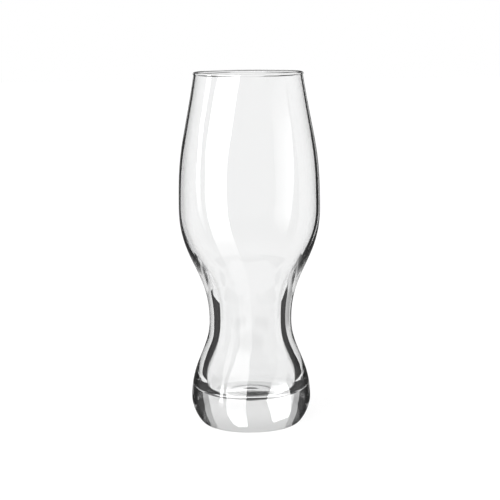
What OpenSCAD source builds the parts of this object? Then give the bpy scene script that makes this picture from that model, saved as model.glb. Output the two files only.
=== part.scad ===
// Weizen glass: a waisted beer glass with a thick solid foot and a beaded rim.
// It stands on the plane z = 0 and every piece is turned about the z axis.

/* [Rim] */
// Height from the table to the top of the rim
glass_h = 188; // [176:1:204]
// Outer diameter of the wall just under the rim bead
rim_d = 57.4; // [52:0.1:62]
// Wall thickness just under the rim bead
rim_wall = 1.2; // [0.9:0.1:1.5]
// Thickness of the fire-polished bead round the rim
bead_d = 1.8; // [1.6:0.1:2.6]

/* [Outside of the bowl] */
// Outer diameter at the widest level of the bowl
bulge_d = 75; // [70:0.1:82]
// Height of the widest level of the bowl
bulge_z = 116.5; // [106:0.5:128]
// Outer diameter of the waist
waist_d = 43.8; // [40:0.1:50]
// Height of the waist
waist_z = 56; // [50:0.5:63]

/* [Inside of the bowl] */
// Wall thickness at the widest level of the bowl
bulge_wall = 2; // [1.5:0.1:2.8]
// Wall thickness at the waist
waist_wall = 5.8; // [4:0.1:7]
// Rise of the narrowest level inside above the waist outside
neck_rise = 1; // [0:0.5:4]
// Wall thickness round the lower chamber, measured in from the heel
chamber_wall = 7.6; // [6:0.1:10]
// Width of the rounded corner between the floor and the lower chamber
floor_corner_w = 7; // [4:0.1:12]
// Height of that rounded corner
floor_corner_h = 6; // [4:0.1:9]
// Thickness of the bowl's own floor above the foot
floor_t = 2.5; // [1.5:0.1:5]

/* [Foot] */
// Outer diameter of the foot at the heel, its widest level
heel_d = 63.8; // [58:0.1:70]
// Height of the heel, where the bowl is fused to the foot
heel_z = 14; // [12:0.5:16]
// Outer diameter of the flat ring that the glass stands on
bearing_d = 50; // [44:0.1:54]
// Width of the flat ring that the glass stands on
bearing_w = 6; // [3:0.1:10]
// Depth of the shallow hollow under the foot
punt_h = 1.5; // [0.5:0.1:4]

/* [Hidden] */

glass_tint = [0.90, 0.93, 0.93, 0.45];
curve_steps = 20;
$fn = 128;

// Reach of the two handles of each curve, as shares of its own height
foot_shares = [0.28, 0.45];
heel_to_waist_shares = [0.46, 0.38];
waist_to_bulge_shares = [0.45, 0.46];
bulge_to_rim_shares = [0.46, 0.52];
chamber_to_neck_shares = [0.36, 0.54];
floor_corner_shares = [0.60, 0.70];
punt_shares = [0.45, 0.45];
// Inward lean of the wall at the rim, as a share of its rise
rim_lean_share = 0.163;

rim_r = rim_d / 2;
bulge_r = bulge_d / 2;
waist_r = waist_d / 2;
heel_r = heel_d / 2;
bearing_r = bearing_d / 2;
neck_r = waist_r - waist_wall;
neck_z = waist_z + neck_rise;
chamber_r = heel_r - chamber_wall;
floor_r = chamber_r - floor_corner_w;
floor_z = heel_z + floor_t;
chamber_z = floor_z + floor_corner_h;

// The bead is a round bar whose cut underside is exactly as wide as the wall
bead_r = rim_r - rim_wall / 2;
bead_z = glass_h - bead_d / 2;
seam_z = bead_z - sqrt(pow(bead_d / 2, 2) - pow(rim_wall / 2, 2));

// Point at t on the cubic curve with the four control points p
function curve_point(p, t) =
    pow(1 - t, 3) * p[0]
    + 3 * pow(1 - t, 2) * t * p[1]
    + 3 * (1 - t) * pow(t, 2) * p[2]
    + pow(t, 3) * p[3];

// Points along that curve, without its first one
function curve(p) = [for (i = [1:curve_steps]) curve_point(p, i / curve_steps)];

// Curve from a to b that is upright at both ends
function upright_curve(a, b, shares) = curve([
    a,
    a + [0, shares[0] * (b.y - a.y)],
    b - [0, shares[1] * (b.y - a.y)],
    b
]);

// Curve from a, where it is level, to b, where it is upright
function level_to_upright(a, b, shares) = curve([
    a,
    a + [shares[0] * (b.x - a.x), 0],
    b - [0, shares[1] * (b.y - a.y)],
    b
]);

// Curve from a, where it is upright, to the rim at b, where it leans inward
function curve_to_rim(a, b, shares) = curve([
    a,
    a + [0, shares[0] * (b.y - a.y)],
    b - shares[1] * (b.y - a.y) * [-rim_lean_share, 1],
    b
]);

// Points of a list from its last to its first
function reversed(points) = [for (i = [len(points) - 1:-1:0]) points[i]];

// Outside of the bowl, from the heel up to the seam under the bead
outer_wall = concat(
    [[heel_r, heel_z]],
    upright_curve([heel_r, heel_z], [waist_r, waist_z], heel_to_waist_shares),
    upright_curve([waist_r, waist_z], [bulge_r, bulge_z], waist_to_bulge_shares),
    curve_to_rim([bulge_r, bulge_z], [rim_r, seam_z], bulge_to_rim_shares)
);

// Inside of the bowl, from the flat of the floor up to the same seam
inner_wall = concat(
    [[floor_r, floor_z]],
    level_to_upright([floor_r, floor_z], [chamber_r, chamber_z], floor_corner_shares),
    upright_curve([chamber_r, chamber_z], [neck_r, neck_z], chamber_to_neck_shares),
    upright_curve([neck_r, neck_z], [bulge_r - bulge_wall, bulge_z], waist_to_bulge_shares),
    curve_to_rim([bulge_r - bulge_wall, bulge_z], [rim_r - rim_wall, seam_z], bulge_to_rim_shares)
);

// Underside and side of the foot, from the axis out to the heel
foot_side = concat(
    [[0, punt_h]],
    curve([
        [0, punt_h],
        [punt_shares[0] * (bearing_r - bearing_w), punt_h],
        [(1 - punt_shares[1]) * (bearing_r - bearing_w), 0],
        [bearing_r - bearing_w, 0]
    ]),
    [[bearing_r, 0]],
    level_to_upright([bearing_r, 0], [heel_r, heel_z], foot_shares)
);

// Fire-polished bead that finishes the rim
module rim_bead() {
    color(glass_tint)
        rotate_extrude()
            difference() {
                translate([bead_r, bead_z])
                    circle(d = bead_d);
                translate([bead_r - bead_d / 2, seam_z - bead_d])
                    square(bead_d);
            }
}

// Blown bowl: the wall from the heel to the bead, with its own floor
module bowl() {
    color(glass_tint)
        rotate_extrude()
            polygon(concat([[0, heel_z]], outer_wall, reversed(inner_wall), [[0, floor_z]]));
}

// Solid pressed foot under the bowl
module foot() {
    color(glass_tint)
        rotate_extrude()
            polygon(concat(foot_side, [[0, heel_z]]));
}

rim_bead();
bowl();
foot();
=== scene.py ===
"""Waisted beer glass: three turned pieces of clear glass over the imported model, in a bright studio."""

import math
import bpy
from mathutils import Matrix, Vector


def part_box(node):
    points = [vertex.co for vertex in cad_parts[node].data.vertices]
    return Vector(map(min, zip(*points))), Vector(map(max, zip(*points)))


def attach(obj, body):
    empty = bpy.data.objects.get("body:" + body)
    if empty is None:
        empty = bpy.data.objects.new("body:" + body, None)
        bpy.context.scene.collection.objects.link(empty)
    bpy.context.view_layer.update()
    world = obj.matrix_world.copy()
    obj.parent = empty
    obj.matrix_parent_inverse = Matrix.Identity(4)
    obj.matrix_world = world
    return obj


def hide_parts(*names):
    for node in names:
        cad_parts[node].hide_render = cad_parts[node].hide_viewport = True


bl_info = {
    "name": "Weizen Glass",
    "version": (1, 0, 0),
    "blender": (4, 5, 0),
    "location": "View3D > Sidebar > Glass",
    "description": "Turns a waisted beer glass from its profile and lights it before a white backdrop",
    "category": "Add Mesh",
}

from types import SimpleNamespace

import bpy
import numpy as np
from bpy.props import FloatProperty, FloatVectorProperty, PointerProperty

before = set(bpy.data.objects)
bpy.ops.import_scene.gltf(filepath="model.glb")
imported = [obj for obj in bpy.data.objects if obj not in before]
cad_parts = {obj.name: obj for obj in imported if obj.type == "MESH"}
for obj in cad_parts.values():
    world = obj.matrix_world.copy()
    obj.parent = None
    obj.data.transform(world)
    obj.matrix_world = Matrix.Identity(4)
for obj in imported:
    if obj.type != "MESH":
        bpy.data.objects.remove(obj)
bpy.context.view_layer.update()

MM = 0.001
BODY = "root"

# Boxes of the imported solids, which give the overall sizes of each piece
BEAD_LOW, BEAD_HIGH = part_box("rim_bead")
BOWL_LOW, BOWL_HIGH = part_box("bowl")
FOOT_LOW, FOOT_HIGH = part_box("foot")
BEAD_THICKNESS = 1.8 * MM
RIM_WALL = 1.2 * MM

# Fineness of the turned surfaces, and how near the axis a point has to be to lie on it
SEGMENTS = 192
CURVE_STEPS = 48
BEAD_STEPS = 40
FLAT_STEPS = 8
AXIS_REACH = 0.001 * MM

# Reach of the two handles of each curve, as shares of its own height or width
FOOT_SHARES = (0.28, 0.45)
HEEL_TO_WAIST_SHARES = (0.46, 0.38)
WAIST_TO_BULGE_SHARES = (0.45, 0.46)
BULGE_TO_RIM_SHARES = (0.46, 0.52)
CHAMBER_TO_NECK_SHARES = (0.36, 0.54)
FLOOR_CORNER_SHARES = (0.60, 0.70)
PUNT_SHARES = (0.45, 0.45)
# Inward lean of the wall at the rim, as a share of its rise
RIM_LEAN_SHARE = 0.163

# Material slots of a turned piece
SURFACE = 0
FUSED_JOINT = 1


def length(label, text, default):
    """A length in metres that a user can change."""
    return FloatProperty(
        name=label, description=text, default=default, min=0.0, precision=4, unit="LENGTH"
    )


def colour(label, text, default):
    """A colour that a user can change."""
    return FloatVectorProperty(
        name=label, description=text, default=default, min=0.0, max=1.0, subtype="COLOR"
    )


def share(label, text, default):
    """A number from 0 to 1 that a user can change."""
    return FloatProperty(
        name=label, description=text, default=default, min=0.0, max=1.0, precision=4, subtype="FACTOR"
    )


def amount(label, text, default):
    """A plain number that a user can change."""
    return FloatProperty(name=label, description=text, default=default, min=0.0, precision=4)


class GlassSizes(bpy.types.PropertyGroup):
    """Driving sizes of the profile, outside and inside"""

    glass_height: length("Height", "From the table to the top of the rim", BEAD_HIGH.z)
    bead_thickness: length("Bead", "Thickness of the fire-polished bead round the rim", BEAD_THICKNESS)
    rim_wall: length("Rim wall", "Thickness of the wall just under the bead", RIM_WALL)
    rim_diameter: length(
        "Rim", "Outer diameter just under the bead", BEAD_HIGH.x - BEAD_LOW.x - BEAD_THICKNESS + RIM_WALL
    )
    bulge_diameter: length("Bulge", "Outer diameter at the widest level", BOWL_HIGH.x - BOWL_LOW.x)
    bulge_height: length("Bulge height", "Height of the widest level", 116.5 * MM)
    bulge_wall: length("Bulge wall", "Thickness of the wall at the widest level", 2.0 * MM)
    waist_diameter: length("Waist", "Outer diameter of the waist", 43.8 * MM)
    waist_height: length("Waist height", "Height of the waist", 56.0 * MM)
    waist_wall: length("Waist wall", "Thickness of the wall at the waist", 5.8 * MM)
    neck_rise: length("Neck rise", "Rise of the narrowest inside level above the waist", 1.0 * MM)
    heel_diameter: length("Heel", "Outer diameter of the foot at its widest", FOOT_HIGH.x - FOOT_LOW.x)
    heel_height: length("Heel height", "Height at which the bowl is fused to the foot", FOOT_HIGH.z)
    chamber_wall: length("Chamber wall", "Thickness round the lower chamber, in from the heel", 7.6 * MM)
    floor_thickness: length("Floor", "Thickness of the bowl's own floor", 2.5 * MM)
    corner_width: length("Corner width", "Width of the rounded corner of the floor", 7.0 * MM)
    corner_height: length("Corner height", "Height of the rounded corner of the floor", 6.0 * MM)
    bearing_diameter: length("Bearing ring", "Outer diameter of the flat ring it stands on", 50.0 * MM)
    bearing_width: length("Ring width", "Width of the flat ring it stands on", 6.0 * MM)
    punt_depth: length("Punt", "Depth of the shallow hollow under the foot", 1.5 * MM)


class GlassFinish(bpy.types.PropertyGroup):
    """Colour and polish of the glass"""

    clear_colour: colour("Clear glass", "Colour of the thin wall", (0.966, 0.968, 0.968))
    thick_colour: colour("Thick glass", "Colour of the thick foot", (0.958, 0.962, 0.961))
    polish: share("Polish", "Roughness of the fire-polished surface", 0.012)
    wear: share("Wear", "Roughness of the ring that rubs on the table", 0.16)
    index: amount("Index", "Index of refraction of soda-lime glass", 1.5)
    absorption: amount("Absorption", "Light lost per metre of glass, as a power of e", 4.0)


class StudioSettings(bpy.types.PropertyGroup):
    """Floor, backdrop and lights"""

    floor_colour: colour("Floor", "Colour of the floor", (0.95, 0.95, 0.95))
    strip_power: amount("Strip lights", "Brightness of the strip lights beside the glass", 1.0)
    key_power: amount("Key light", "Strength of the lamp over the floor", 2.2)


# Profile of the glass


def point(radius, height):
    """One point of the profile."""
    return np.array((radius, height))


def cubic(start, leave, arrive, end, steps=CURVE_STEPS):
    """Points along a cubic curve.

    Its four control points are weighted by (1-t)^3, 3(1-t)^2 t, 3(1-t) t^2 and t^3.
    """
    t = np.linspace(0.0, 1.0, steps + 1)[:, None]
    return (1 - t) ** 3 * start + 3 * (1 - t) ** 2 * t * leave + 3 * (1 - t) * t**2 * arrive + t**3 * end


def upright_curve(start, end, shares):
    """Cubic that is upright at both ends, with handles that are shares of its rise."""
    rise = point(0.0, end[1] - start[1])
    return cubic(start, start + shares[0] * rise, end - shares[1] * rise, end)


def level_to_upright(start, end, shares):
    """Cubic that leaves the start level and reaches the end upright."""
    reach = point(end[0] - start[0], 0.0)
    rise = point(0.0, end[1] - start[1])
    return cubic(start, start + shares[0] * reach, end - shares[1] * rise, end)


def curve_to_rim(start, end, shares):
    """Cubic that is upright at the start and leans inward where it reaches the rim."""
    rise = end[1] - start[1]
    lean = point(-RIM_LEAN_SHARE, 1.0)
    return cubic(start, start + shares[0] * point(0.0, rise), end - shares[1] * rise * lean, end)


def straight(start, end, steps=FLAT_STEPS):
    """Evenly spaced points from the start to the end."""
    return np.linspace(start, end, steps + 1)


def joined(*curves):
    """Curves that follow each other, with each shared point kept once."""
    return np.concatenate([curves[0]] + [curve[1:] for curve in curves[1:]])


def profile_points(sizes):
    """Points where the curves of the profile meet, worked out from the driving sizes."""
    rim_radius = sizes.rim_diameter / 2
    bulge_radius = sizes.bulge_diameter / 2
    waist_radius = sizes.waist_diameter / 2
    heel_radius = sizes.heel_diameter / 2
    bearing_radius = sizes.bearing_diameter / 2
    bead_radius = sizes.bead_thickness / 2
    bead_height = sizes.glass_height - bead_radius
    seam_height = bead_height - math.sqrt(bead_radius**2 - (sizes.rim_wall / 2) ** 2)
    floor_height = sizes.heel_height + sizes.floor_thickness
    chamber_radius = heel_radius - sizes.chamber_wall
    return SimpleNamespace(
        bead_centre=point(rim_radius - sizes.rim_wall / 2, bead_height),
        outer_rim=point(rim_radius, seam_height),
        inner_rim=point(rim_radius - sizes.rim_wall, seam_height),
        outer_bulge=point(bulge_radius, sizes.bulge_height),
        inner_bulge=point(bulge_radius - sizes.bulge_wall, sizes.bulge_height),
        waist=point(waist_radius, sizes.waist_height),
        neck=point(waist_radius - sizes.waist_wall, sizes.waist_height + sizes.neck_rise),
        chamber=point(chamber_radius, floor_height + sizes.corner_height),
        floor_edge=point(chamber_radius - sizes.corner_width, floor_height),
        floor_centre=point(0.0, floor_height),
        heel=point(heel_radius, sizes.heel_height),
        heel_centre=point(0.0, sizes.heel_height),
        bearing_outer=point(bearing_radius, 0.0),
        bearing_inner=point(bearing_radius - sizes.bearing_width, 0.0),
        punt_top=point(0.0, sizes.punt_depth),
    )


def outer_wall(at):
    """Outside of the bowl from the heel up past the waist and the bulge to the bead: three cubics."""
    return joined(
        upright_curve(at.heel, at.waist, HEEL_TO_WAIST_SHARES),
        upright_curve(at.waist, at.outer_bulge, WAIST_TO_BULGE_SHARES),
        curve_to_rim(at.outer_bulge, at.outer_rim, BULGE_TO_RIM_SHARES),
    )


def inner_wall(at):
    """Inside of the bowl from the middle of its floor up to the bead: a flat, then four cubics."""
    return joined(
        straight(at.floor_centre, at.floor_edge),
        level_to_upright(at.floor_edge, at.chamber, FLOOR_CORNER_SHARES),
        upright_curve(at.chamber, at.neck, CHAMBER_TO_NECK_SHARES),
        upright_curve(at.neck, at.inner_bulge, WAIST_TO_BULGE_SHARES),
        curve_to_rim(at.inner_bulge, at.inner_rim, BULGE_TO_RIM_SHARES),
    )


def foot_side(at):
    """Underside and side of the foot: the hollow as a cubic, the flat ring, and a cubic up to the heel."""
    reach = at.bearing_inner[0]
    hollow = cubic(
        at.punt_top,
        at.punt_top + point(PUNT_SHARES[0] * reach, 0.0),
        at.bearing_inner - point(PUNT_SHARES[1] * reach, 0.0),
        at.bearing_inner,
    )
    return joined(
        hollow,
        straight(at.bearing_inner, at.bearing_outer),
        level_to_upright(at.bearing_outer, at.heel, FOOT_SHARES),
    )


def bead_arc(at):
    """Round of the bead: an arc about its centre, over the top from the seam's outer edge to its inner."""
    start = at.outer_rim - at.bead_centre
    radius = math.hypot(*start)
    first = math.atan2(start[1], start[0])
    turn = np.linspace(first, math.pi - first, BEAD_STEPS + 1)[:, None]
    return at.bead_centre + radius * np.concatenate((np.cos(turn), np.sin(turn)), axis=1)


def turned(name, stretches, closed=False):
    """Surface of revolution: a profile point at radius r and height z turns into (r cos a, r sin a, z).

    The profile is a list of stretches, each with its material slot. It starts at the bottom on the axis
    or, where it is closed, on its own last point. Stretches meet in a crease. Rings of radius zero
    shrink to one point, and the faces beside them are triangles.
    """
    profile = joined(*(points for points, _ in stretches))
    spans = np.array([len(points) - 1 for points, _ in stretches])
    slots = np.repeat([slot for _, slot in stretches], spans)
    creases = np.cumsum(spans)[:-1]
    if closed:
        profile = profile[:-1]
        creases = np.append(creases, 0)
    rows = len(profile)
    on_axis = profile[:, 0] < AXIS_REACH
    counts = np.where(on_axis, 1, SEGMENTS)
    first_of_row = np.concatenate(([0], np.cumsum(counts)[:-1]))

    row_of = np.repeat(np.arange(rows), counts)
    angle = (np.arange(len(row_of)) - first_of_row[row_of]) * 2 * math.pi / SEGMENTS
    radius, height = profile[row_of].T
    vertices = np.column_stack((radius * np.cos(angle), radius * np.sin(angle), height))

    below = np.arange(len(slots))
    above = (below + 1) % rows
    around = np.arange(SEGMENTS)
    after = (around + 1) % SEGMENTS

    def corner(row, step):
        """Index of the vertex at a step round a row."""
        return first_of_row[row][:, None] + np.where(on_axis[row][:, None], 0, step[None, :])

    corners = (corner(below, around), corner(below, after), corner(above, after), corner(above, around))
    quads = np.stack(corners, axis=2)
    faces = []
    face_slots = []
    for row, slot in enumerate(slots):
        strip = quads[row]
        if on_axis[below[row]]:
            strip = strip[:, [0, 2, 3]]
        elif on_axis[above[row]]:
            strip = strip[:, [0, 1, 2]]
        faces += strip.tolist()
        face_slots += [slot] * SEGMENTS

    mesh = bpy.data.meshes.new(name)
    mesh.from_pydata(vertices.tolist(), [], faces, shade_flat=False)
    mesh.polygons.foreach_set("material_index", np.array(face_slots, dtype=np.int32))
    ends = np.empty(len(mesh.edges) * 2, dtype=np.int32)
    mesh.edges.foreach_get("vertices", ends)
    edge_rows = row_of[ends.reshape(-1, 2)]
    creased = (edge_rows[:, 0] == edge_rows[:, 1]) & np.isin(edge_rows[:, 0], creases)
    mesh.edges.foreach_set("use_edge_sharp", creased)
    mesh.update()
    mesh.validate()
    piece = bpy.data.objects.new(name, mesh)
    bpy.context.scene.collection.objects.link(piece)
    return piece


def place(piece, node, finish):
    """Gives a turned piece its glass and its fused joint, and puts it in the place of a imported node."""
    piece.data.materials.append(finish)
    piece.data.materials.append(fused_joint())
    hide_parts(node)
    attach(piece, BODY)


# Nodes


def add_node(tree, kind, **settings):
    """A new node with some of its settings changed."""
    node = tree.nodes.new(kind)
    for key, value in settings.items():
        setattr(node, key, value)
    return node


def feed(tree, term, socket):
    """Links an output to a socket, or sets a number on it."""
    if isinstance(term, bpy.types.NodeSocket):
        tree.links.new(term, socket)
    else:
        socket.default_value = term


def smooth_step(tree, value, low, high, at_low=0.0, at_high=1.0):
    """Value that eases from at_low, where the input is low, to at_high, where it is high."""
    step = add_node(tree, "ShaderNodeMapRange", interpolation_type="SMOOTHSTEP")
    terms = {"Value": value, "From Min": low, "From Max": high, "To Min": at_low, "To Max": at_high}
    for name, term in terms.items():
        feed(tree, term, step.inputs[name])
    return step.outputs["Result"]


def arithmetic(tree, operation, *terms):
    """Math node on sockets or numbers."""
    node = add_node(tree, "ShaderNodeMath", operation=operation)
    for socket, term in zip(node.inputs, terms):
        feed(tree, term, socket)
    return node.outputs[0]


def noise(tree, vector, scale, detail):
    """Smooth noise from 0 to 1 over the object."""
    texture = add_node(tree, "ShaderNodeTexNoise")
    texture.inputs["Scale"].default_value = scale
    texture.inputs["Detail"].default_value = detail
    tree.links.new(vector, texture.inputs["Vector"])
    return texture.outputs["Fac"]


def new_group(name, inputs, outputs):
    """Empty node group with named sockets, and its two end nodes."""
    group = bpy.data.node_groups.new(name, "ShaderNodeTree")
    for label, kind in inputs:
        group.interface.new_socket(name=label, in_out="INPUT", socket_type=kind)
    for label, kind in outputs:
        group.interface.new_socket(name=label, in_out="OUTPUT", socket_type=kind)
    return group, group.nodes.new("NodeGroupInput"), group.nodes.new("NodeGroupOutput")


def bare_material(name):
    """New material with nothing but its output."""
    material = bpy.data.materials.new(name)
    material.use_nodes = True
    tree = material.node_tree
    tree.nodes.remove(tree.nodes["Principled BSDF"])
    return material


def show(tree, shader):
    """Makes a shader the surface of its material."""
    tree.links.new(shader.outputs[0], tree.nodes["Material Output"].inputs["Surface"])


def show_mix(tree, second_share, first, second):
    """Makes two shaders, mixed by the share of the second, the surface of their material."""
    mix = add_node(tree, "ShaderNodeMixShader")
    feed(tree, second_share, mix.inputs[0])
    tree.links.new(first.outputs[0], mix.inputs[1])
    tree.links.new(second.outputs[0], mix.inputs[2])
    show(tree, mix)


# Materials of the glass

# Marks on handled glass: noise scale and detail, the noise levels between which a mark grows, and its
# strength at the lower level and below
SMEARS = (55.0, 3.0, 0.35, 0.7, 0.5)
SCRATCHES = (1400.0, 2.0, 0.3, 0.7, 0.4)
# Height up to which the ring is rubbed by the table
WEAR_HEIGHT = 0.25 * MM
# Waves in the glass: noise scale along each axis of a piece, and depth
BOWL_DRAW = (60.0, 60.0, 12.0)
FOOT_DRAW = (90.0, 90.0, 90.0)
BEAD_DRAW = (70.0, 70.0, 70.0)
BOWL_WAVE = 0.002 * MM
FOOT_WAVE = 0.002 * MM
BEAD_WAVE = 0.001 * MM
WAVE_SCALE = 1.0
WAVE_DETAIL = 1.0
# Share of light that passes the glass into its shadow
SHADOW_COLOUR = (0.88, 0.88, 0.88, 1.0)


def marks(tree, vector, scale, detail, low, high, least):
    """Noise over the object, eased from a least strength to 1."""
    return smooth_step(tree, noise(tree, vector, scale, detail), low, high, least, 1.0)


def polished_glass_group():
    """Colour, roughness and waviness of handled glass, shared by the three pieces.

    Colour goes from thick to clear between the table and the top of the foot. Roughness is the polish,
    broken up by faint smears, and rises to the wear on the flat ring, where fine scratches cross it.
    Waviness is a slow noise, drawn out along the height as blown glass is.
    """
    name = "polished_glass"
    if name in bpy.data.node_groups:
        return bpy.data.node_groups[name]
    group, given, result = new_group(
        name,
        (
            ("Clear Colour", "NodeSocketColor"),
            ("Thick Colour", "NodeSocketColor"),
            ("Thick Height", "NodeSocketFloat"),
            ("Polish", "NodeSocketFloat"),
            ("Wear", "NodeSocketFloat"),
            ("Wear Height", "NodeSocketFloat"),
            ("Draw", "NodeSocketVector"),
        ),
        (("Colour", "NodeSocketColor"), ("Roughness", "NodeSocketFloat"), ("Wave", "NodeSocketFloat")),
    )
    place_on = add_node(group, "ShaderNodeTexCoord").outputs["Object"]
    split = add_node(group, "ShaderNodeSeparateXYZ")
    group.links.new(place_on, split.inputs[0])
    height = split.outputs["Z"]

    clearness = smooth_step(group, height, 0.0, given.outputs["Thick Height"])
    tint = add_node(group, "ShaderNodeMix", data_type="RGBA")
    group.links.new(clearness, tint.inputs["Factor"])
    group.links.new(given.outputs["Thick Colour"], tint.inputs["A"])
    group.links.new(given.outputs["Clear Colour"], tint.inputs["B"])
    group.links.new(tint.outputs["Result"], result.inputs["Colour"])

    polish = arithmetic(group, "MULTIPLY", given.outputs["Polish"], marks(group, place_on, *SMEARS))
    near_table = smooth_step(group, height, given.outputs["Wear Height"], 0.0)
    rubbed = arithmetic(group, "MULTIPLY", near_table, marks(group, place_on, *SCRATCHES))
    wear = arithmetic(group, "MULTIPLY", given.outputs["Wear"], rubbed)
    group.links.new(arithmetic(group, "MAXIMUM", polish, wear), result.inputs["Roughness"])

    drawn = add_node(group, "ShaderNodeVectorMath", operation="MULTIPLY")
    group.links.new(place_on, drawn.inputs[0])
    group.links.new(given.outputs["Draw"], drawn.inputs[1])
    group.links.new(noise(group, drawn.outputs[0], WAVE_SCALE, WAVE_DETAIL), result.inputs["Wave"])
    return group


def glass_material(name, settings, thick_height, draw, wave_depth):
    """Clear glass: the shared finish on a refracting shader, with a light shadow.

    Where light leaves the glass, its colour is dimmed by e to the power of minus the path behind it times
    the absorption. That is squared, because the shader takes the root of its colour at each crossing.
    """
    material = bpy.data.materials.new(name)
    material.use_nodes = True
    tree = material.node_tree
    shader = tree.nodes["Principled BSDF"]
    shader.inputs["IOR"].default_value = settings.index
    shader.inputs["Transmission Weight"].default_value = 1.0

    finish = add_node(tree, "ShaderNodeGroup", node_tree=polished_glass_group())
    values = {
        "Clear Colour": (*settings.clear_colour, 1.0),
        "Thick Colour": (*settings.thick_colour, 1.0),
        "Thick Height": thick_height,
        "Polish": settings.polish,
        "Wear": settings.wear,
        "Wear Height": WEAR_HEIGHT,
        "Draw": draw,
    }
    for socket, value in values.items():
        finish.inputs[socket].default_value = value
    waves = add_node(tree, "ShaderNodeBump")
    waves.inputs["Strength"].default_value = 1.0
    waves.inputs["Distance"].default_value = wave_depth
    tree.links.new(finish.outputs["Wave"], waves.inputs["Height"])
    tree.links.new(finish.outputs["Roughness"], shader.inputs["Roughness"])
    tree.links.new(waves.outputs["Normal"], shader.inputs["Normal"])

    path = add_node(tree, "ShaderNodeLightPath")
    leaving = add_node(tree, "ShaderNodeNewGeometry").outputs["Backfacing"]
    inside = arithmetic(tree, "MULTIPLY", path.outputs["Ray Length"], leaving)
    lost = arithmetic(tree, "EXPONENT", arithmetic(tree, "MULTIPLY", inside, -2 * settings.absorption))
    tint = add_node(tree, "ShaderNodeMix", data_type="RGBA", blend_type="MULTIPLY")
    tint.inputs["Factor"].default_value = 1.0
    tree.links.new(finish.outputs["Colour"], tint.inputs["A"])
    tree.links.new(lost, tint.inputs["B"])
    tree.links.new(tint.outputs["Result"], shader.inputs["Base Color"])

    shade = add_node(tree, "ShaderNodeBsdfTransparent")
    shade.inputs["Color"].default_value = SHADOW_COLOUR
    show_mix(tree, path.outputs["Is Shadow Ray"], shader, shade)
    return material


def fused_joint():
    """Face where two pieces are melted together: light goes straight through, so nothing shows there."""
    name = "fused_joint"
    if name in bpy.data.materials:
        return bpy.data.materials[name]
    material = bare_material(name)
    show(material.node_tree, add_node(material.node_tree, "ShaderNodeBsdfTransparent"))
    return material


# Sizes and places in the studio

# Camera of the photograph: 0.8 m in front, a little above the rim, looking down
CAMERA_PLACE = (0.1 * MM, -800.0 * MM, 220.1 * MM)
CAMERA_PITCH = math.radians(81.0)
CAMERA_ROLL = math.radians(-0.55)
CAMERA_LENS = 109.29
CAMERA_SENSOR = 36.0

# Bounces of light that are followed: all, through the glass, off the glass, and past the cards
ALL_BOUNCES = 48
REFRACTION_BOUNCES = 24
REFLECTION_BOUNCES = 32
PASSED_CARDS = 32

FLOOR_HALF = 4.0
FLOOR_DROP = 0.3 * MM
SHADOW_SHARE = 0.25

# Lamp over the floor
KEY_LEAN = math.radians(24.0)
KEY_TURN = math.radians(-38.0)
KEY_SPREAD = math.radians(30.0)

# Tone of the backdrop seen through the glass, by elevation in degrees
SKY_START = 3.0
SKY_END = 25.0
SKY_TONE = 0.78
SKY_TOP = 55.0
UNDER_START = -72.0
UNDER_END = -60.0
# Room behind the glass, which only reflections show: it fades in between two shares of straight back,
# and has a tone at each of two elevations
BACK_START = 0.2
BACK_END = 0.8
LOW_BACK = 0.0
HIGH_BACK = 15.0
LOW_BACK_TONE = 0.1
HIGH_BACK_TONE = 0.12
FILL_LIGHT = 0.8

# Counts of reflections and refractions are whole, so a limit lies half a step from a count
HALF_STEP = 0.5
MANY = 99
# Fewest reflections of light that is trapped in the glass
TRAPPED_FROM = 2

# Shade of the table under the foot: a dark middle, and two dark lobes at the sides that show after so
# many refractions at most
SHADE_FORWARD = 6.0 * MM
SHADE_INNER = 14.0 * MM
SHADE_OUTER = 18.0 * MM
SHADE_HALF = 50.0 * MM
SHADE_DROP = 0.2 * MM
LOBE_SLANT = 0.55
LOBE_INNER = 16.0 * MM
LOBE_OUTER = 19.5 * MM
LOBE_FRONT = -2.0 * MM
LOBE_BACK = 4.0 * MM
LOBE_REFRACTIONS = 2


def block(low, high, left, right, tone):
    """Rows of a card with upright edges and one tone."""
    return ((low, left, right, tone), (high, left, right, tone))


def faded(left, right, *steps):
    """Rows of a card with upright edges, whose tone changes with the height."""
    return tuple((height, left, right, tone) for height, tone in steps)


def shaped(tone, *edges):
    """Rows of a card with one tone, whose edges change with the height."""
    return tuple((*row, tone) for row in edges)


# Cards behind the glass. A row has the elevation in degrees, for the far cards, or the height in
# millimetres, then the left and right edge as an angle from straight behind, in degrees, and the tone.
FAR_DISTANCE = 1.4
FAR_LEVEL = 50.0 * MM
FAR_REFLECTIONS = (1, 1)
FAR_REFRACTIONS = (0, 2)
FAR_CARDS = {
    "left_wedge": (
        (-39, -31, -12, 0.9),
        (-34, -31, -12, 0.6),
        (-30, -31, -13, 0.3),
        (-26.5, -31, -13, 0),
        (-2, -31, -13, 0),
        (0, -31, -19, 0),
        (26, -31, -19, 0),
    ),
    "left_band": shaped(0, (-27, -62, -31), (0, -63, -31), (26, -64, -31)),
    "right_wedge": (
        (-40, 12, 31, 0.8),
        (-36, 12, 31, 0.5),
        (-32, 12, 31, 0.25),
        (-28, 12, 31, 0),
        (-21, 13, 31, 0),
        (-17, 22, 31, 0),
        (26, 23, 31, 0),
    ),
    "right_band": (
        (-36, 31, 38, 0.4),
        (-33.5, 31, 44, 0),
        (-27, 31, 60, 0),
        (0, 31, 63, 0),
        (26, 31, 64, 0),
    ),
    "front_card": faded(90, 270, (-55, 1), (-40, 0.6), (-20, 0.15), (35, 0.15)),
}
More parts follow.
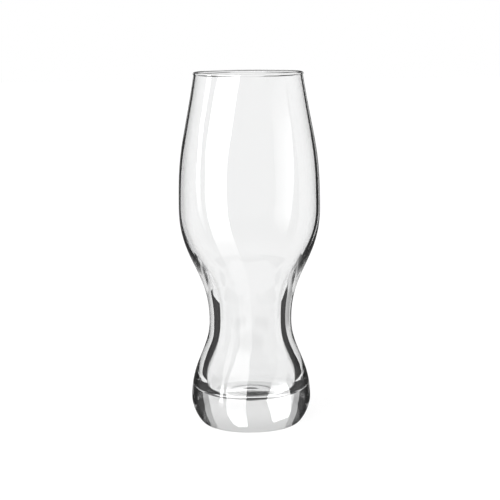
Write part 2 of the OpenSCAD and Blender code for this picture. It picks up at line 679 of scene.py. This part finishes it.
# Seen straight through the foot and through the bead
THROUGH_CARDS = {
    "left_heel_card": block(0, 35, -46, -19, 0),
    "left_grey_card": block(0, 30, -19, -13.2, 0.5),
    "right_grey_card": block(0, 30, 13.2, 19, 0.5),
    "right_heel_card": block(0, 35, 19, 46, 0),
    "ring_card": block(-6, 3.35, -14, 14, 0),
    "left_over_rim_card": block(192, 250, -40, -20, 0),
    "left_over_rim_grey_card": block(192, 250, -20, -9, 0.3),
    "right_over_rim_card": block(192, 250, 18, 40, 0),
    "right_over_rim_grey_card": block(192, 250, 9, 18, 0.3),
}
RIM_CARDS = {"rim_card": block(108, 160, -20, 20, 0)}
# Seen by one reflection in the wall. Height and angle of the edge between the waist's card and the
# ring's are shared by the two.
LEFT_RING_EDGE = ((3.2, -81), (1.5, -73), (0, -69), (-1.5, -62), (-3, -55), (-6, -45))
RIGHT_RING_EDGE = ((4.2, 80), (2.5, 75), (0, 65), (-1.5, 60), (-4, 53), (-6, 47))
ONCE_CARDS = {
    "left_bowl_card": shaped(
        1,
        (196, -110, -54),
        (174, -110, -58),
        (149, -110, -61),
        (130, -110, -59),
        (90, -110, -57),
        (70, -110, -56),
        (57, -110, -54),
    ),
    "right_bowl_card": shaped(
        1,
        (196, 55, 110),
        (174, 60, 110),
        (149, 66, 110),
        (121, 68, 110),
        (100, 68, 110),
        (80, 66, 110),
        (70, 64, 110),
        (57, 58, 110),
    ),
    "left_shoulder_card": faded(-57, -40, (90, 0), (82, 0.2), (77, 0.6), (72, 1), (65, 1), (63, 0.1)),
    "left_waist_card": shaped(
        1,
        (57, -56, -20),
        (48.5, -56, -20),
        (47.5, -39, -20),
        (43, -39, -20),
        (36, -50, -20),
        (26, -55, -20),
        (14, -58, -20),
        (11, -60, -20),
        (9.5, -66, -20),
        (8, -80, -20),
        *((height, edge, -20) for height, edge in LEFT_RING_EDGE),
    ),
    "left_ring_card": shaped(0, *((height, -88, edge) for height, edge in LEFT_RING_EDGE), (-32, -88, -40)),
    "right_shoulder_card": (
        (57, 41, 57, 0.12),
        (50, 41, 56, 0.16),
        (49.5, 41, 56, 0.25),
    ),
    "right_waist_card": (
        (57, 20, 41, 0.7),
        (49.5, 20, 41, 0.7),
        (49, 20, 56, 0.6),
        (48.5, 20, 56, 0.55),
        (47.5, 20, 50, 0.55),
        (44, 20, 50, 0.6),
        (41, 20, 49, 0.75),
        (37, 20, 49, 1),
        (26, 20, 48, 1),
        (14, 20, 50, 1),
        (9, 20, 46, 1),
        (7, 20, 47, 1),
        (6, 20, 52, 1),
        (5, 20, 80, 1),
        *((height, 20, edge, 1) for height, edge in RIGHT_RING_EDGE),
    ),
    "right_ring_card": shaped(0, *((height, edge, 88) for height, edge in RIGHT_RING_EDGE), (-32, 40, 88)),
}
# Seen by light that turns back in the foot, that mirrors in the floor, and that runs round the shoulder
COLLAR_CARDS = {
    "right_collar_card": block(-10, 30, 95, 160, 0),
    "left_collar_card": block(-10, 30, 200, 265, 0),
}
FLOOR_CARDS = {"floor_card": block(43, 66, -14, 14, 0)}
SHOULDER_CARDS = {
    "shoulder_front_card": faded(
        105, 255, (70, 1), (87, 1), (89, 0.5), (91, 0.15), (95, 0.05), (98, 0)
    ),
    "shoulder_left_card": faded(
        -105, -88, (70, 1), (87, 1), (90, 0.3), (93, 0.08), (103, 0.05), (106, 0)
    ),
    "shoulder_left_back_card": faded(-88, -75, (70, 1), (89, 1), (93, 0.45), (103, 0.3), (106, 0)),
    "shoulder_back_left_card": faded(-75, -30, (70, 1), (89, 1), (93, 0.5), (110, 0.45), (114, 0)),
    "shoulder_back_card": faded(-30, 20, (70, 1), (89, 1), (93, 0.4), (104, 0.3), (108, 0)),
    "shoulder_right_back_card": faded(
        20, 75, (70, 1), (87, 1), (91, 0.3), (95, 0.08), (104, 0.05), (108, 0)
    ),
    "shoulder_right_card": faded(
        75, 105, (70, 1), (86, 1), (89, 0.3), (92, 0.08), (100, 0.03), (103, 0)
    ),
}
# Name, distance, fewest and most reflections, fewest and most refractions, and cards
NEAR_SETS = (
    ("shoulder_card", 62.0 * MM, (14, MANY), (0, MANY), SHOULDER_CARDS),
    ("floor_card", 63.0 * MM, (1, MANY), (3, MANY), FLOOR_CARDS),
    ("through_card", 64.0 * MM, (0, 0), (0, 2), THROUGH_CARDS),
    ("rim_card", 150.0 * MM, (0, 0), (0, 2), RIM_CARDS),
    ("once_card", 65.0 * MM, (1, 1), (0, 2), ONCE_CARDS),
    ("collar_card", 66.0 * MM, (1, MANY), (0, MANY), COLLAR_CARDS),
)

# Strip lights on a tube round the glass. A row has the height in millimetres, the left and right edge as
# an angle from straight in front, in degrees, and the brightness.
STRIP_DISTANCE = 41.0 * MM
STRIPS = {
    "left_strip": (
        (200, -40, -6, 8),
        (181, -46, -14, 8),
        (160, -46, -18, 8),
        (142, -43, -20, 8),
        (121, -40, -19, 8),
        (107, -36, -16, 6),
        (97, -34, -13, 2.9),
        (80, -32, -9, 2.0),
        (63, -31, -5, 1.65),
        (57, -25, -1, 1.65),
        (54, -21.5, 3, 2.2),
        (52, -21, 2.5, 3),
        (49, -26, -2, 5),
        (38, -30, -3, 5),
        (29, -31, -5, 5),
        (25, -31, -5, 14),
        (19, -30, -6, 14),
        (15, -30, -6, 7),
        (-9, -31, -6, 9),
        (-45, -32, -8, 9),
    ),
    "left_edge_strip": (
        (195, -65, -55, 8),
        (168, -62, -55, 8),
        (146, -55, -49.5, 8),
        (128, -52.5, -46.7, 4),
        (116, -48.5, -43.5, 2.6),
        (106, -44, -41, 1.8),
    ),
    "left_low_strip": (
        (54.5, -35, -30, 1.8),
        (52, -40, -31, 2),
        (50, -44, -34, 2.6),
        (43, -44, -35, 3.2),
        (31, -39.5, -36.5, 4),
        (25, -39, -35, 14),
        (19, -39, -35, 14),
        (15, -40, -33, 5),
        (12, -39, -35, 2),
    ),
    "right_soft_strip": (
        (189, 41, 55, 1.9),
        (178, 27, 52, 2.2),
        (163, 26.5, 50, 4),
        (150, 24.5, 46, 5),
        (125, 22.5, 40.5, 5),
        (116, 21, 38, 4.5),
        (107, 24, 35, 2.1),
        (103, 29, 35, 1.2),
    ),
    "right_low_strip": (
        (44, 44, 50, 1.4),
        (36, 35, 54, 2),
        (30, 27, 49, 4),
        (25, 23, 50, 14),
        (19, 18.5, 52, 14),
        (15, 19, 52, 8),
        (9, 22, 52, 9),
        (-6, 29, 57, 9),
        (-12, 33, 47, 9),
        (-18, 38, 42, 6),
    ),
}
# Share of its brightness that a strip has on its left edge, where that isn't all of it
LEFT_EDGE_SHARES = {"right_soft_strip": 0.2}
# Fineness of the cards across and between two rows
CARD_COLUMNS = 24
ROW_STEPS = 12
# Angle from straight in front to straight behind
BEHIND = 180.0
# Name of the brightness stored on the points of a card
GLOW = "glow"
ONE_FACE = np.array([(0, 1, 2, 3)])


# Cards and strip lights


def smooth_rows(rows):
    """Rows eased into each other.

    A cubic curve runs through every row, with a slope there of half the way between its neighbours.
    """
    rows = np.array(rows, dtype=float)
    padded = np.concatenate((2 * rows[:1] - rows[1:2], rows, 2 * rows[-1:] - rows[-2:-1]))
    before, here, there, beyond = (padded[k : k + len(rows) - 1, None, :] for k in range(4))
    t = np.linspace(0.0, 1.0, ROW_STEPS, endpoint=False)[None, :, None]
    bend = (
        2 * here
        + (there - before) * t
        + (2 * before - 5 * here + 4 * there - beyond) * t**2
        + (3 * here - before - 3 * there + beyond) * t**3
    ) / 2
    return np.concatenate((bend.reshape(-1, rows.shape[1]), rows[-1:]))


def square(half, height):
    """Corners of a level square about the axis."""
    return np.array([(x * half, y * half, height) for x, y in ((-1, -1), (1, -1), (1, 1), (-1, 1))])


def stage_piece(name, vertices, faces, material):
    """Object of the studio, which isn't part of the glass."""
    mesh = bpy.data.meshes.new(name)
    mesh.from_pydata(vertices.tolist(), [], faces.tolist())
    mesh.materials.append(material)
    piece = bpy.data.objects.new(name, mesh)
    bpy.context.scene.collection.objects.link(piece)
    return piece


def stage_card(name, vertices, faces, material):
    """Card that lights or shades the glass and isn't seen itself."""
    card = stage_piece(name, vertices, faces, material)
    card.visible_camera = False
    card.visible_diffuse = False
    card.visible_shadow = False
    return card


def curved_card(name, heights, starts, ends, distance, material):
    """Card on an upright tube: at angle a and height z it lies at (d sin a, -d cos a, z)."""
    across = np.linspace(0.0, 1.0, CARD_COLUMNS)
    angles = np.radians(starts[:, None] + (ends - starts)[:, None] * across)
    levels = np.repeat(heights[:, None], CARD_COLUMNS, axis=1)
    places = (distance * np.sin(angles), -distance * np.cos(angles), levels)
    vertices = np.stack(places, axis=2).reshape(-1, 3)
    row, column = np.meshgrid(np.arange(len(heights) - 1), np.arange(CARD_COLUMNS - 1), indexing="ij")
    lower = (row * CARD_COLUMNS + column).ravel()
    faces = np.column_stack((lower, lower + 1, lower + CARD_COLUMNS + 1, lower + CARD_COLUMNS))
    return stage_card(name, vertices, faces, material)


def set_glow(card, glow):
    """Stores a brightness for each point of a card."""
    card.data.attributes.new(GLOW, "FLOAT", "POINT").data.foreach_set("value", glow.ravel())


def strip_light(name, rows, material):
    """Strip of light beside the glass, which only its mirror-like reflections show.

    Its brightness follows the rows. What lies over the white of the room grows from the strip's own
    share on the left edge to the whole on the right.
    """
    heights, starts, ends, glow = smooth_rows(rows).T
    card = curved_card(name, heights * MM, starts, ends, STRIP_DISTANCE, material)
    card.visible_transmission = False
    across = np.linspace(LEFT_EDGE_SHARES.get(name, 1.0), 1.0, CARD_COLUMNS)
    set_glow(card, 1.0 + np.clip(glow - 1.0, 0.0, None)[:, None] * across)


def behind_card(name, heights, starts, ends, tones, distance, material):
    """Card behind the glass, which shows only through it."""
    card = curved_card(name, heights, BEHIND - starts, BEHIND - ends, distance, material)
    card.visible_glossy = False
    set_glow(card, np.repeat(tones[:, None], CARD_COLUMNS, axis=1))


def far_card(name, rows, material):
    """Card far behind the glass, whose rows give elevations."""
    elevations, starts, ends, tones = np.array(rows, dtype=float).T
    heights = FAR_LEVEL + FAR_DISTANCE * np.tan(np.radians(elevations))
    behind_card(name, heights, starts, ends, tones, FAR_DISTANCE, material)


def near_card(name, rows, distance, material):
    """Card close behind the glass, whose rows give heights."""
    heights, starts, ends, tones = np.array(rows, dtype=float).T
    behind_card(name, heights * MM, starts, ends, tones, distance, material)


def glow_material(name):
    """Plain white glow."""
    material = bare_material(name)
    show(material.node_tree, add_node(material.node_tree, "ShaderNodeEmission"))
    return material


def stored_glow(name, power=1.0):
    """Glow that follows the brightness stored on a card."""
    material = glow_material(name)
    tree = material.node_tree
    stored = add_node(tree, "ShaderNodeAttribute", attribute_name=GLOW)
    strength = arithmetic(tree, "MULTIPLY", stored.outputs["Fac"], power)
    tree.links.new(strength, tree.nodes["Emission"].inputs["Strength"])
    return material


def card_material(name, reflections, refractions):
    """Glow that follows the brightness stored on a card, for light that has met the glass so many times.

    Both counts are given as the fewest and the most. All other light passes the card.
    """
    material = stored_glow(name)
    tree = material.node_tree
    path = add_node(tree, "ShaderNodeLightPath")
    passing = 0.0
    for output, (fewest, most) in (("Glossy Depth", reflections), ("Transmission Depth", refractions)):
        few = arithmetic(tree, "LESS_THAN", path.outputs[output], fewest - HALF_STEP)
        many = arithmetic(tree, "GREATER_THAN", path.outputs[output], most + HALF_STEP)
        passing = arithmetic(tree, "MAXIMUM", passing, arithmetic(tree, "MAXIMUM", few, many))
    show_mix(tree, passing, tree.nodes["Emission"], add_node(tree, "ShaderNodeBsdfTransparent"))
    return material


# Table, floor, backdrop, lamp and camera


def make_table_shade():
    """Table as it shows through the foot: dark under its middle and at its sides, white elsewhere.

    The middle is round. The sides lie behind its centre, and their inner edges slant outwards to the back.
    """
    material = glow_material("table_shade")
    tree = material.node_tree
    spot = add_node(tree, "ShaderNodeTexCoord").outputs["Object"]
    away = add_node(tree, "ShaderNodeVectorMath", operation="LENGTH")
    tree.links.new(spot, away.inputs[0])
    middle = smooth_step(tree, away.outputs["Value"], SHADE_INNER, SHADE_OUTER)

    split = add_node(tree, "ShaderNodeSeparateXYZ")
    tree.links.new(spot, split.inputs[0])
    sideways = arithmetic(tree, "ABSOLUTE", split.outputs["X"])
    backwards = arithmetic(tree, "MAXIMUM", split.outputs["Y"], 0.0)
    slant = arithmetic(tree, "MULTIPLY", backwards, LOBE_SLANT)
    beside = smooth_step(tree, arithmetic(tree, "SUBTRACT", sideways, slant), LOBE_INNER, LOBE_OUTER)
    behind = smooth_step(tree, split.outputs["Y"], LOBE_FRONT, LOBE_BACK)
    refractions = add_node(tree, "ShaderNodeLightPath").outputs["Transmission Depth"]
    direct = arithmetic(tree, "LESS_THAN", refractions, LOBE_REFRACTIONS + HALF_STEP)
    lobes = arithmetic(tree, "MULTIPLY", arithmetic(tree, "MULTIPLY", beside, behind), direct)

    tone = arithmetic(tree, "MULTIPLY", middle, arithmetic(tree, "SUBTRACT", 1.0, lobes))
    tree.links.new(tone, tree.nodes["Emission"].inputs["Strength"])
    card = stage_card("table_shade", square(SHADE_HALF, 0.0), ONE_FACE, material)
    card.location = (0.0, -SHADE_FORWARD, -SHADE_DROP)
    card.visible_glossy = False


def floor_material(settings):
    """Pale floor: white to the camera, with a share of plain matt surface that keeps the shadow."""
    material = bare_material("pale_floor")
    tree = material.node_tree
    matt = add_node(tree, "ShaderNodeBsdfDiffuse")
    matt.inputs["Color"].default_value = (*settings.floor_colour, 1.0)
    show_mix(tree, SHADOW_SHARE, add_node(tree, "ShaderNodeEmission"), matt)
    return material


def make_floor(settings):
    """Level floor just under the glass."""
    floor = stage_piece("floor", square(FLOOR_HALF, -FLOOR_DROP), ONE_FACE, floor_material(settings))
    floor.visible_glossy = False
    floor.visible_transmission = False


def make_backdrop():
    """White all round, but not in the glass.

    Seen through the glass, it is greyer above and dark straight below, and light that is trapped in the
    glass finds none. In reflections, it is dark behind the glass. The floor gets a little less of it.
    """
    world = bpy.data.worlds.new("white_backdrop")
    bpy.context.scene.world = world
    world.use_nodes = True
    tree = world.node_tree
    background = tree.nodes["Background"]
    background.inputs["Color"].default_value = (1.0, 1.0, 1.0, 1.0)
    path = add_node(tree, "ShaderNodeLightPath")
    split = add_node(tree, "ShaderNodeSeparateXYZ")
    tree.links.new(add_node(tree, "ShaderNodeTexCoord").outputs["Generated"], split.inputs[0])

    def over(start, end, at_start, at_end):
        """Tone that changes between two elevations."""
        low, high = (math.sin(math.radians(elevation)) for elevation in (start, end))
        return smooth_step(tree, split.outputs["Z"], low, high, at_start, at_end)

    greyer = over(SKY_START, SKY_END, 1.0, SKY_TONE)
    above = arithmetic(tree, "MAXIMUM", greyer, over(SKY_END, SKY_TOP, 0.0, 1.0))
    sky = arithmetic(tree, "MULTIPLY", above, over(UNDER_START, UNDER_END, 0.0, 1.0))
    trapped = arithmetic(tree, "GREATER_THAN", path.outputs["Glossy Depth"], TRAPPED_FROM - HALF_STEP)
    dim = arithmetic(tree, "MAXIMUM", arithmetic(tree, "SUBTRACT", 1.0, sky), trapped)
    through = arithmetic(tree, "MULTIPLY", path.outputs["Is Transmission Ray"], dim)

    back = smooth_step(tree, split.outputs["Y"], BACK_START, BACK_END)
    room = over(LOW_BACK, HIGH_BACK, 1.0 - LOW_BACK_TONE, 1.0 - HIGH_BACK_TONE)
    shade = arithmetic(tree, "MULTIPLY", back, room)
    mirrored = arithmetic(tree, "MULTIPLY", path.outputs["Is Reflection Ray"], shade)

    matt = arithmetic(tree, "MULTIPLY", path.outputs["Is Diffuse Ray"], 1.0 - FILL_LIGHT)
    taken = arithmetic(tree, "ADD", arithmetic(tree, "ADD", through, mirrored), matt)
    tree.links.new(arithmetic(tree, "SUBTRACT", 1.0, taken), background.inputs["Strength"])


def make_key_light(settings):
    """Soft lamp above and to the left, which gives the floor its faint shadow."""
    lamp = bpy.data.lights.new("key_light", "SUN")
    lamp.energy = settings.key_power
    lamp.angle = KEY_SPREAD
    key = bpy.data.objects.new("key_light", lamp)
    key.rotation_euler = (KEY_LEAN, 0.0, KEY_TURN)
    key.visible_camera = False
    key.visible_glossy = False
    key.visible_transmission = False
    bpy.context.scene.collection.objects.link(key)


def make_camera():
    """Camera at the photograph's viewing angle."""
    lens = bpy.data.cameras.new("camera")
    lens.sensor_width = CAMERA_SENSOR
    lens.lens = CAMERA_LENS
    camera = bpy.data.objects.new("camera", lens)
    camera.location = CAMERA_PLACE
    camera.rotation_mode = "ZYX"
    camera.rotation_euler = (CAMERA_PITCH, 0.0, CAMERA_ROLL)
    bpy.context.scene.collection.objects.link(camera)
    bpy.context.scene.camera = camera


# Operators


class GLASS_OT_turn_bowl(bpy.types.Operator):
    """Turn the blown bowl, from the heel to the seam under the bead, with its own floor"""

    bl_idname = "glass.turn_bowl"
    bl_label = "Turn Bowl"

    def execute(self, context):
        settings = context.scene.glass_finish
        at = profile_points(context.scene.glass_sizes)
        bowl = turned(
            "glass_bowl",
            (
                (straight(at.heel_centre, at.heel), FUSED_JOINT),
                (outer_wall(at), SURFACE),
                (straight(at.outer_rim, at.inner_rim, steps=1), FUSED_JOINT),
                (inner_wall(at)[::-1], SURFACE),
            ),
        )
        place(bowl, "bowl", glass_material("bowl_glass", settings, at.chamber[1], BOWL_DRAW, BOWL_WAVE))
        return {"FINISHED"}


class GLASS_OT_press_foot(bpy.types.Operator):
    """Make the solid pressed foot, with the flat ring that the glass stands on"""

    bl_idname = "glass.press_foot"
    bl_label = "Press Foot"

    def execute(self, context):
        settings = context.scene.glass_finish
        at = profile_points(context.scene.glass_sizes)
        foot = turned(
            "glass_foot",
            (
                (foot_side(at), SURFACE),
                (straight(at.heel, at.heel_centre), FUSED_JOINT),
            ),
        )
        place(foot, "foot", glass_material("foot_glass", settings, at.chamber[1], FOOT_DRAW, FOOT_WAVE))
        return {"FINISHED"}


class GLASS_OT_polish_rim(bpy.types.Operator):
    """Make the fire-polished bead that rounds the rim"""

    bl_idname = "glass.polish_rim"
    bl_label = "Polish Rim"

    def execute(self, context):
        settings = context.scene.glass_finish
        at = profile_points(context.scene.glass_sizes)
        bead = turned(
            "glass_rim_bead",
            (
                (bead_arc(at), SURFACE),
                (straight(at.inner_rim, at.outer_rim, steps=1), FUSED_JOINT),
            ),
            closed=True,
        )
        place(bead, "rim_bead", glass_material("bead_glass", settings, at.chamber[1], BEAD_DRAW, BEAD_WAVE))
        return {"FINISHED"}


class GLASS_OT_set_stage(bpy.types.Operator):
    """Set up the camera, the white backdrop, the floor, the lights and the cards"""

    bl_idname = "glass.set_stage"
    bl_label = "Set Stage"

    def execute(self, context):
        settings = context.scene.glass_studio
        make_camera()
        make_backdrop()
        make_floor(settings)
        make_key_light(settings)
        make_table_shade()
        bright = stored_glow("strip_light", settings.strip_power)
        for strip, rows in STRIPS.items():
            strip_light(strip, rows, bright)
        far = card_material("far_card", FAR_REFLECTIONS, FAR_REFRACTIONS)
        for card, rows in FAR_CARDS.items():
            far_card(card, rows, far)
        for name, distance, reflections, refractions, cards in NEAR_SETS:
            near = card_material(name, reflections, refractions)
            for card, rows in cards.items():
                near_card(card, rows, distance, near)
        context.scene.view_settings.view_transform = "Standard"
        cycles = context.scene.cycles
        cycles.blur_glossy = 0.0
        cycles.max_bounces = ALL_BOUNCES
        cycles.transmission_bounces = REFRACTION_BOUNCES
        cycles.glossy_bounces = REFLECTION_BOUNCES
        cycles.transparent_max_bounces = PASSED_CARDS
        return {"FINISHED"}


class GLASS_PT_panel(bpy.types.Panel):
    """Sizes, finish and studio of the glass"""

    bl_idname = "GLASS_PT_panel"
    bl_label = "Weizen Glass"
    bl_space_type = "VIEW_3D"
    bl_region_type = "UI"
    bl_category = "Glass"

    def draw(self, context):
        layout = self.layout
        for name, group in PROPERTY_GROUPS.items():
            box = layout.box()
            for setting in group.__annotations__:
                box.prop(getattr(context.scene, name), setting)
        for operator in OPERATORS:
            layout.operator(operator.bl_idname)


PROPERTY_GROUPS = {
    "glass_sizes": GlassSizes,
    "glass_finish": GlassFinish,
    "glass_studio": StudioSettings,
}
OPERATORS = (GLASS_OT_turn_bowl, GLASS_OT_press_foot, GLASS_OT_polish_rim, GLASS_OT_set_stage)
CLASSES = (*PROPERTY_GROUPS.values(), *OPERATORS, GLASS_PT_panel)


def register():
    """Registers the classes and adds the settings to the scene."""
    for item in CLASSES:
        bpy.utils.register_class(item)
    for name, group in PROPERTY_GROUPS.items():
        setattr(bpy.types.Scene, name, PointerProperty(type=group))


def unregister():
    """Takes the settings and the classes away again."""
    for name in PROPERTY_GROUPS:
        delattr(bpy.types.Scene, name)
    for item in reversed(CLASSES):
        bpy.utils.unregister_class(item)


def main():
    """Makes the glass and its studio."""
    register()
    bpy.ops.glass.set_stage()
    bpy.ops.glass.press_foot()
    bpy.ops.glass.turn_bowl()
    bpy.ops.glass.polish_rim()


if __name__ == "__main__":
    main()
